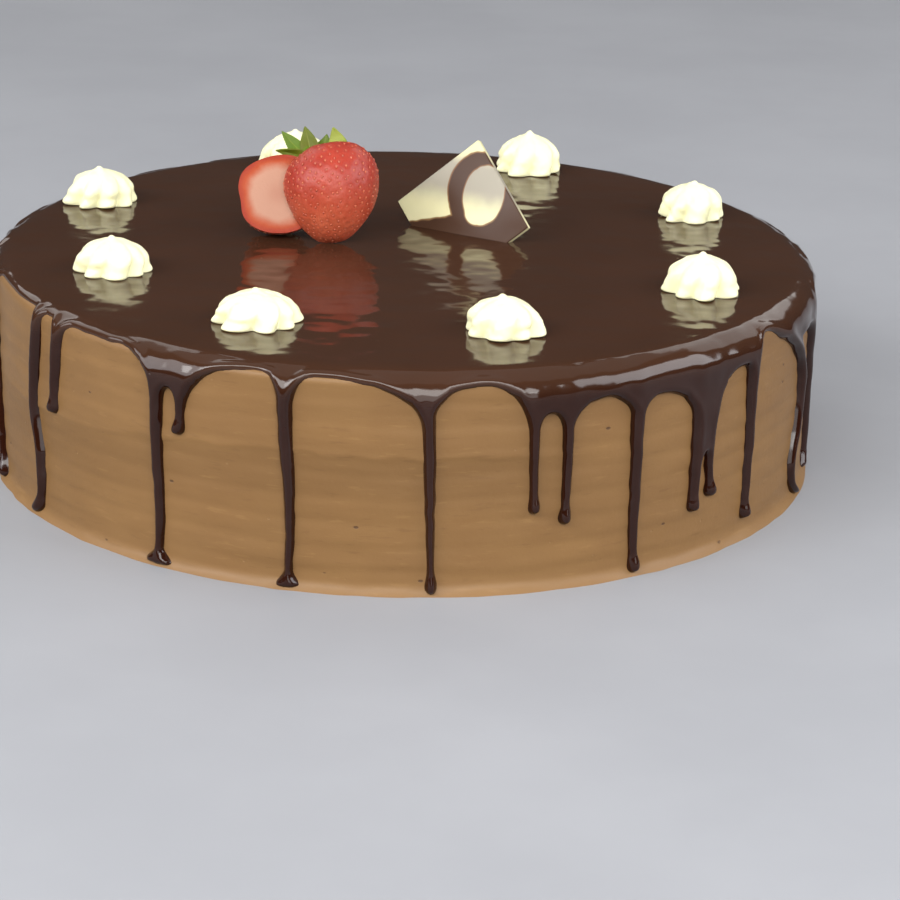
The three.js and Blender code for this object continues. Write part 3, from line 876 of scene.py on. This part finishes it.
def buildHalf(name, half, skin, grain, flesh):
    clearSelection()
    bpy.ops.mesh.primitive_uv_sphere_add(segments=berry["columns"], ring_count=berry["rows"], radius=1)
    piece = startPiece(name)
    ball = readPoints(piece)
    turn = np.arccos(np.clip(ball[:, 2], -1, 1))
    angle = np.arctan2(ball[:, 1], ball[:, 0])
    points = berryPlace(half, turn, angle)
    seedTurn, seedAngle = seedPlaces(half)
    seeds = berryPlace(half, seedTurn, seedAngle)
    # press a pit round every seed
    far = np.linalg.norm(points[:, None, :] - seeds[None, :, :], axis=2).min(1)
    pit = np.exp(-(far / berry["pitReach"]) ** 2)
    brimMiddle, brimReach = berry["brimPlace"]
    brim = berry["brim"] * np.exp(-((far - brimMiddle) / brimReach) ** 2)
    lumpRuns = np.random.default_rng(berry["lumpSeed"]).normal(0, berry["lumpWaves"], (5, 3))
    lumps = sum(np.sin(points @ run + phase) for phase, run in enumerate(lumpRuns))
    points += unit(points) * (berry["pitDepth"] * (brim - pit) + berry["lumps"] * lumps)[:, None]
    # the cut side is pressed flat, with a slight swell
    cutSide = half["side"] * ball[:, 1] < berry["cutMargin"]
    share = np.hypot(points[:, 0] / (half["width"] / 2), points[:, 2] / (half["length"] / 2))
    points[cutSide, 1] = -half["side"] * berry["cutSwell"] * np.clip(1 - share[cutSide] ** 2, 0, 1)
    writePoints(piece, placed(points, berryMatrix(half)))
    # for the colours: how far in from the skin each point of the cut face lies, and how near the tip
    markPoints(piece, "inward", np.where(cutSide, 1 - np.sqrt(np.clip(1 - ball[:, 1] ** 2, 0, 1)), 0))
    markPoints(piece, "tip", (1 - ball[:, 2]) / 2)
    # flesh on the faces of the cut, skin on the others
    for look in (skin, grain, flesh):
        piece.data.materials.append(look)
    onCut = [all(cutSide[list(polygon.vertices)]) for polygon in piece.data.polygons]
    piece.data.polygons.foreach_set("material_index", np.where(onCut, 2, 0))
    smoothShade(piece)
    return joined([piece, buildSeeds(half, grain, seeds, seedTurn, seedAngle)])


leaf = {
    "steps": (18, 10),
    "thickness": 0.55,
    "stalk": 0.12,        # share of the outline that is cut off at the root
    "outline": (0.8, 0.85),    # lower for a wider root, and for blunter ends
    "curl": 0.11,         # as a share of the length
    "wave": 0.35,
    "waves": 9,
    "levels": 1,
}
# root and tip across, up and behind the cut plane, width, fold along the midrib, twist in degrees, tone,
# which is partly the leaf's own colour and partly painted light on the lit leaf
leaves = [
    ((-29.5, 26.6, 1.6), (-39.6, 36.2, 2.4), 6.0, 0.5, -22, 0.55),
    ((-29.5, 26.8, 1.2), (-41.4, 29.6, 1.4), 4.2, 0.7, 48, 0.25),
    ((-29.8, 27.4, 2.4), (-32.4, 38.2, 3.4), 6.0, 0.9, 12, 0.22),
    ((-28.0, 28.0, 3.4), (-25.4, 36.2, 5.2), 6.0, 0.5, 25, 0.35),
    ((-20.8, 28.6, 2.6), (-23.4, 37.9, 3.2), 6.4, 0.4, 10, 1.0),
    ((-28.0, 27.6, 3.6), (-34.0, 33.5, 9.0), 6.0, 0.5, 0, 0.4),
]


def buildLeaf(number, root, tip, width, fold, twist, toneAndLight):
    along, sides = leaf["steps"]
    clearSelection()
    bpy.ops.mesh.primitive_grid_add(x_subdivisions=along, y_subdivisions=sides, size=2)
    piece = startPiece(f"leaf_{number}")
    points = readPoints(piece)
    run, side = (points[:, 0] + 1) / 2, points[:, 1]
    root, tip = np.array(root), np.array(tip)
    length = np.linalg.norm(tip - root)
    rootPower, endPower = leaf["outline"]
    shownRun = np.clip(mixed(leaf["stalk"], 1, run), 0, 1)
    half = width / 2 * np.sin(np.pi * shownRun ** rootPower) ** endPower
    curl = leaf["curl"] * length * np.sin(np.pi * run)
    wave = leaf["wave"] * np.sin(leaf["waves"] * run + number) * np.abs(side)
    rise = fold * np.abs(side) * half / 3 + wave - curl
    turn = math.radians(twist) * (0.4 + 0.6 * run)
    sideways = half * side * np.cos(turn) - rise * np.sin(turn)
    forward = half * side * np.sin(turn) + rise * np.cos(turn)
    axis = (tip - root) / length
    across = np.cross(axis, (0, 0, 1))
    across /= np.linalg.norm(across)
    front = np.cross(across, axis)
    flat = root + axis * (length * run)[:, None] + across * sideways[:, None] - front * forward[:, None]
    writePoints(piece, placed(flat[:, [0, 2, 1]], cutPlane))    # across, behind, up
    # partly painted light: the lit leaf is painted brightest, and each leaf is lighter from its root towards
    # its tip
    markPoints(piece, "toneAndLight", np.clip(toneAndLight * (0.35 + 0.65 * step(run, 0.1, 0.7)), 0, 1))
    markPoints(piece, "rib", np.abs(side))
    modify(piece, "SOLIDIFY", thickness=leaf["thickness"] * mm, offset=0)
    modify(piece, "SUBSURF", levels=leaf["levels"], render_levels=leaf["levels"])
    smoothShade(piece)
    return piece


def buildLeaves():
    piece = joined([buildLeaf(number, *shape) for number, shape in enumerate(leaves, 1)])
    piece.name = "leaves"
    return piece


# Chocolate plaque, which stands on one corner in the glaze

plaque = {"side": 34, "thickness": 2.2, "bevel": 0.35, "sunk": 0.8,
          "x": 17.8, "y": 17.5, "up": 6, "facing": -31, "lean": 20, "roll": 44}
plaqueMatrix = (Matrix.Translation((plaque["x"] * mm, plaque["y"] * mm, (glazeTop + plaque["up"]) * mm))
                @ Matrix.Rotation(math.radians(plaque["facing"]), 4, "Z")
                @ Matrix.Rotation(math.radians(90 - plaque["lean"]), 4, "X")
                @ Matrix.Rotation(math.radians(plaque["roll"]), 4, "Z"))


def buildPlaque():
    thick, side = plaque["thickness"] * mm, plaque["side"] * mm
    clearSelection()
    bpy.ops.mesh.primitive_cube_add(size=1, location=(0, 0, -thick / 2))
    piece = startPiece("plaque")
    piece.scale = (side, side, thick)
    bpy.ops.object.transform_apply()
    bpy.ops.object.mode_set(mode="EDIT")
    bpy.ops.mesh.select_all(action="SELECT")
    bpy.ops.mesh.bevel(offset=plaque["bevel"] * mm, segments=3, affect="EDGES")
    bpy.ops.object.mode_set(mode="OBJECT")
    piece.data.transform(plaqueMatrix)
    # cut off the corner that is deeper in the glaze
    bpy.ops.object.mode_set(mode="EDIT")
    bpy.ops.mesh.select_all(action="SELECT")
    bpy.ops.mesh.bisect(plane_co=(0, 0, (glazeTop - plaque["sunk"]) * mm), plane_no=(0, 0, 1),
                        use_fill=True, clear_inner=True)
    bpy.ops.object.mode_set(mode="OBJECT")
    smoothShade(piece, 30)
    return piece


# Finishes

def mousseFinish():
    finish = Finish("mousse")
    place = finish.place()
    broad = finish.ramp(finish.noise(finish.stretched(place, (1, 1, 4)), 60, 3), 0.3, 0.72)
    cloudy = finish.ramp(finish.noise(place, 16, 3), 0.3, 0.75)
    colour = finish.blend(broad, paint(110, 81, 47), paint(116, 86, 50))
    colour = finish.blend(cloudy * 0.5, colour, paint(108, 78, 44))
    colour = finish.blend(finish.attribute("under") * 0.5, colour, paint(98, 71, 39))
    # drag marks of the scraper
    drags = finish.noise(finish.stretched(place, (1, 1, 7)), 10, 3, 0.6)
    colour = finish.blend(finish.ramp(drags, 0.6, 0.72) * 0.3, colour, paint(88, 62, 34))
    colour = finish.blend(finish.ramp(drags, 0.4, 0.28) * 0.3, colour, paint(132, 101, 62))
    # crumbs of dark chocolate and pale air bubbles
    crumbs = finish.ramp(finish.cells(finish.stretched(place, (1, 1, 1.8)), 12), 0.075, 0.05)
    crumbs = crumbs * finish.ramp(finish.noise(place, 30, 1), 0.5, 0.55)
    colour = finish.blend(crumbs * 0.8, colour, paint(62, 40, 24))
    bubbles = finish.ramp(finish.cells(finish.stretched(place, (1.02, 0.98, 1.1)), 9), 0.05, 0.035)
    colour = finish.blend(bubbles * 0.15, colour, paint(140, 110, 74))
    foot = finish.ramp(finish.axis(place, "Z"), 0.006, 0.0)
    colour = finish.blend(foot * 0.25, colour, paint(132, 102, 66))
    grain = finish.noise(place, 1.3, 3, 0.6) * 0.16
    swell = finish.noise(finish.stretched(place, (1, 1, 2)), 12, 3) * 0.3
    relief = grain + swell - bubbles * 0.25 - crumbs * 0.3
    return finish.surface({"Base Color": colour, "Roughness": 0.5, "Specular IOR Level": 0.3,
                           "Normal": finish.bump(relief, 0.3)})


def glazeFinish():
    finish = Finish("glaze")
    place = finish.place()
    cloudy = finish.ramp(finish.noise(place, 38, 3), 0.3, 0.7)
    # painted light: the top gets a lighter, greyer colour than the side, standing in for the light and sheen
    # on the top of one and the same glaze
    side = finish.blend(cloudy, paint(33, 12, 5), paint(36, 14, 6))
    top = finish.blend(cloudy, paint(52, 32, 21), paint(55, 34, 23))
    height = finish.axis(place, "Z") / mm
    # the painted light of the top runs a little way down over the rolled edge
    colour = finish.blend(finish.ramp(height, glazeTop - 10, glazeTop - 2), side, top)
    pits = finish.ramp(finish.cells(place, 10), 0.05, 0.03) * 0.12
    ripples = finish.noise(place, 26, 1) * 0.8 + finish.noise(place, 11, 1) * 1.1
    grain = finish.noise(place, 4) * 0.05
    return finish.surface({"Base Color": colour, "Roughness": 0.1, "IOR": 1.37,
                           "Normal": finish.bump(ripples + grain - pits, 0.5)})


def creamFinish():
    finish = Finish("cream")
    place = finish.place()
    cloudy = finish.ramp(finish.noise(place, 6, 2), 0.35, 0.7)
    colour = finish.blend(cloudy, paint(219, 217, 176), paint(223, 221, 182))
    return finish.surface({"Base Color": colour, "Roughness": 0.5, "Specular IOR Level": 0.35,
                           "Subsurface Weight": 0.3, "Subsurface Radius": (0.005, 0.0045, 0.004),
                           "Subsurface Scale": 0.6,
                           "Normal": finish.bump(finish.noise(place, 1.2, 3), 0.12)})


def skinFinish():
    finish = Finish("skin")
    place = finish.place()
    cloudy = finish.ramp(finish.noise(place, 9, 3), 0.3, 0.7)
    # painted light: the skin is darker at the stem end and lighter towards the tip, standing in for the light
    # that falls on the lower part of the berry
    upper = finish.blend(cloudy, paint(136, 40, 28), paint(148, 50, 35))
    lower = finish.blend(cloudy, paint(158, 66, 42), paint(166, 80, 54))
    colour = finish.blend(finish.ramp(finish.attribute("tip"), 0.35, 0.95), upper, lower)
    return finish.surface({"Base Color": colour, "Roughness": 0.42, "IOR": 1.38,
                           "Subsurface Weight": 0.15, "Subsurface Radius": (0.004, 0.0015, 0.001),
                           "Subsurface Scale": 0.3,
                           "Normal": finish.bump(finish.noise(place, 0.8, 2), 0.06)})


def fleshFinish():
    finish = Finish("flesh")
    place = finish.place()
    inward = finish.attribute("inward") + (finish.noise(place, 6, 3) - 0.5) * 0.26
    colour = finish.blend(finish.ramp(inward, 0.0, 0.16), paint(132, 36, 8), paint(146, 56, 16))
    colour = finish.blend(finish.ramp(inward, 0.1, 0.4), colour, paint(159, 117, 97))
    colour = finish.blend(finish.ramp(inward, 0.6, 0.95) * 0.35, colour, paint(142, 88, 68))
    return finish.surface({"Base Color": colour, "Roughness": 0.5, "Specular IOR Level": 0.2,
                           "Normal": finish.bump(finish.noise(place, 0.9, 3), 0.1)})


def seedFinish():
    finish = Finish("seed")
    cloudy = finish.ramp(finish.noise(finish.place(), 5, 1), 0.4, 0.6)
    colour = finish.blend(cloudy, paint(170, 84, 54), paint(152, 64, 42))
    return finish.surface({"Base Color": colour, "Roughness": 0.4})


def leafFinish():
    finish = Finish("leaf")
    # dark olive to bright yellow-green, partly the leaf's own colour and partly painted light
    toneAndLight = finish.attribute("toneAndLight")
    colour = finish.blend(finish.ramp(toneAndLight, 0, 0.5), paint(82, 80, 8), paint(74, 98, 18))
    colour = finish.blend(finish.ramp(toneAndLight, 0.5, 1), colour, paint(124, 132, 52))
    rib = finish.ramp(finish.attribute("rib"), 0.12, 0.02)
    colour = finish.blend(rib * 0.3, colour, paint(126, 130, 56))
    return finish.surface({"Base Color": colour, "Roughness": 0.55, "Specular IOR Level": 0.25,
                           "Normal": finish.bump(finish.noise(finish.place(), 1.4, 3), 0.15)})


def plaqueFinish():
    finish = Finish("plaque")
    place = finish.localPlace(plaqueMatrix)
    wander = finish.noise(place, 7, 2) - 0.5
    x = finish.axis(place, "X") / mm + wander * 2.4
    y = finish.axis(place, "Y") / mm + wander * 2.0
    roll = math.radians(plaque["roll"])
    up = x * math.sin(roll) + y * math.cos(roll)
    across = x * math.cos(roll) - y * math.sin(roll)
    # a pale field with a rounded pale patch, parted and framed by dark bands
    aroundBand = (((x - 9.9) / 12.8) ** 2 + ((y - 0.1) / 14.6) ** 2) ** 0.5
    aroundPatch = (((across - 6.3) / 7.3) ** 2 + ((up - 7) / 9.6) ** 2) ** 0.5
    field = finish.ramp(aroundBand, 0.985, 1.045) * finish.ramp(up - across * 0.33, 0.1, 1.1)
    patch = finish.ramp(aroundPatch, 1.06, 0.97)
    pale = field.highest(patch)
    fringe = (pale * (1 - pale) * 4).lowest(1)
    cloudy = finish.ramp(finish.noise(place, 12, 2), 0.3, 0.7)
    ivory = finish.blend(cloudy, paint(198, 193, 152), paint(204, 199, 160))
    # painted shade and reflection: a grey band across the upper middle of the pale field, for how the light
    # falls on the plaque
    paintedGreyShade = finish.ramp(up, 0, 9) * finish.ramp(up, 21, 15)
    ivory = finish.blend(paintedGreyShade * 0.85, ivory, paint(126, 120, 114))
    colour = finish.blend(pale, paint(64, 44, 33), ivory)
    colour = finish.blend(fringe * 0.8, colour, paint(110, 64, 22))
    front = finish.ramp(finish.axis(place, "Z") / mm, -0.6, -0.3)    # the back is plain
    colour = finish.blend(front, ivory, colour)
    return finish.surface({"Base Color": colour, "Roughness": 0.3, "Specular IOR Level": 0.12,
                           "Normal": finish.bump(finish.noise(place, 9, 1), 0.12)})


# Pieces

moussePiece = buildMousse()
smoothShade(moussePiece, 60)
standFor(moussePiece, "mousse", "mousse", mousseFinish())
print("mousse:", len(moussePiece.data.polygons), "faces")

glazePiece = buildGlaze()
smoothShade(glazePiece, 75)
standFor(glazePiece, "glaze", "glaze", glazeFinish())
print("glaze:", len(glazePiece.data.polygons), "faces")

creamLook = creamFinish()
for number in range(1, len(rosette["turns"]) + 1):
    rosettePiece = buildRosette(number)
    smoothShade(rosettePiece)
    standFor(rosettePiece, "cream", f"cream_rosette_{number}", creamLook)
print("rosettes:", len(rosettePiece.data.polygons), "faces each")

berryLooks = [skinFinish(), seedFinish(), fleshFinish()]
for side, half in (("front", frontHalf), ("rear", rearHalf)):
    berryPiece = buildHalf(f"berry_{side}_half", half, *berryLooks)
    standFor(berryPiece, "strawberry", f"strawberry_{side}_half")
    print(f"{side} half of the berry:", len(berryPiece.data.polygons), "faces")

leavesPiece = buildLeaves()
standFor(leavesPiece, "leaf", "strawberry_leaves", leafFinish())
plaquePiece = buildPlaque()
standFor(plaquePiece, "plaque", "chocolate_plaque", plaqueFinish())
print("leaves and plaque done")

# Studio: floor, light and camera

studio = {
    "floorSize": (4.0, 4.6),
    "floorBack": 2.4,
    "wall": (66, 66, 66),
    "distance": 1.00386,
    "elevation": 19.52,
    "pitch": 19.59,
    "yaw": 0.948,
    "roll": 1.462,
    "focal": 3143.7,     # pixels in the 900 pixel frame
    "frame": 900,
    "sensor": 36,
    "aim": (0, 0, 0.05),
    # place, size, power and colour of each light
    "lights": {
        "key": ((-0.3, -1.3, 1.1), (3.0, 0.6), 57, (1, 0.985, 0.96)),
        "front": ((0.45, -1.7, 0.5), (1.0, 0.8), 8, (1, 0.985, 0.97)),
        "left": ((-1.7, -0.7, 1.0), (1.5, 1.1), 30, (0.97, 0.97, 1)),
        "right": ((1.8, -0.45, 1.0), (1.5, 1.1), 37, (0.97, 0.97, 1)),
        "overhead": ((0, 0.3, 2.2), (3.0, 2.2), 10, (1, 0.98, 0.96)),
        "backLeft": ((-1.3, 1.4, 1.4), (1.6, 1.2), 12, (1, 0.98, 0.96)),
        "backRight": ((1.3, 1.4, 1.4), (1.6, 1.2), 12, (1, 0.98, 0.96)),
    },
}


def buildFloor():
    width, depth = studio["floorSize"]
    clearSelection()
    bpy.ops.mesh.primitive_plane_add(size=1, location=(0, studio["floorBack"] - depth / 2, 0))
    floor = startPiece("floor")
    floor.scale = (width, depth, 1)
    bpy.ops.object.transform_apply()
    finish = Finish("floor")
    cloudy = finish.ramp(finish.noise(finish.place(), 120, 4, 0.6), 0.3, 0.7)
    colour = finish.blend(cloudy, paint(136, 138, 143), paint(141, 143, 148))
    floor.data.materials.append(finish.surface({"Base Color": colour, "Roughness": 0.6}))


def addToScene(name, data, place, turn):
    made = bpy.data.objects.new(name, data)
    bpy.context.scene.collection.objects.link(made)
    made.matrix_world = Matrix.Translation(place) @ turn.to_4x4()
    return made


def buildCamera():
    elevation, pitch, yaw, roll = (math.radians(studio[key]) for key in ("elevation", "pitch", "yaw", "roll"))
    forward = Vector((math.sin(yaw) * math.cos(pitch), math.cos(yaw) * math.cos(pitch), -math.sin(pitch)))
    right = forward.cross(Vector((0, 0, 1))).normalized()
    up = right.cross(forward)
    turnedRight = right * math.cos(roll) + up * math.sin(roll)
    turnedUp = up * math.cos(roll) - right * math.sin(roll)
    turn = Matrix((turnedRight, turnedUp, -forward)).transposed()
    place = Vector((0, -math.cos(elevation), math.sin(elevation))) * studio["distance"]
    data = bpy.data.cameras.new("camera")
    data.sensor_width = studio["sensor"]
    data.lens = studio["focal"] * studio["sensor"] / studio["frame"]
    bpy.context.scene.camera = addToScene("camera", data, place, turn)


def buildLight():
    world = bpy.data.worlds.new("studio")
    bpy.context.scene.world = world
    world.use_nodes = True
    world.node_tree.nodes["Background"].inputs["Color"].default_value = paint(*studio["wall"])
    for name, (place, size, power, colour) in studio["lights"].items():
        data = bpy.data.lights.new(name, "AREA")
        data.shape = "RECTANGLE"
        data.size, data.size_y = size
        data.energy = power
        data.color = colour
        aim = Vector(studio["aim"]) - Vector(place)
        addToScene(name, data, place, aim.to_track_quat("-Z", "Y").to_matrix())
    bpy.context.scene.view_settings.view_transform = "Standard"


buildFloor()
buildCamera()
buildLight()
print("studio ready")
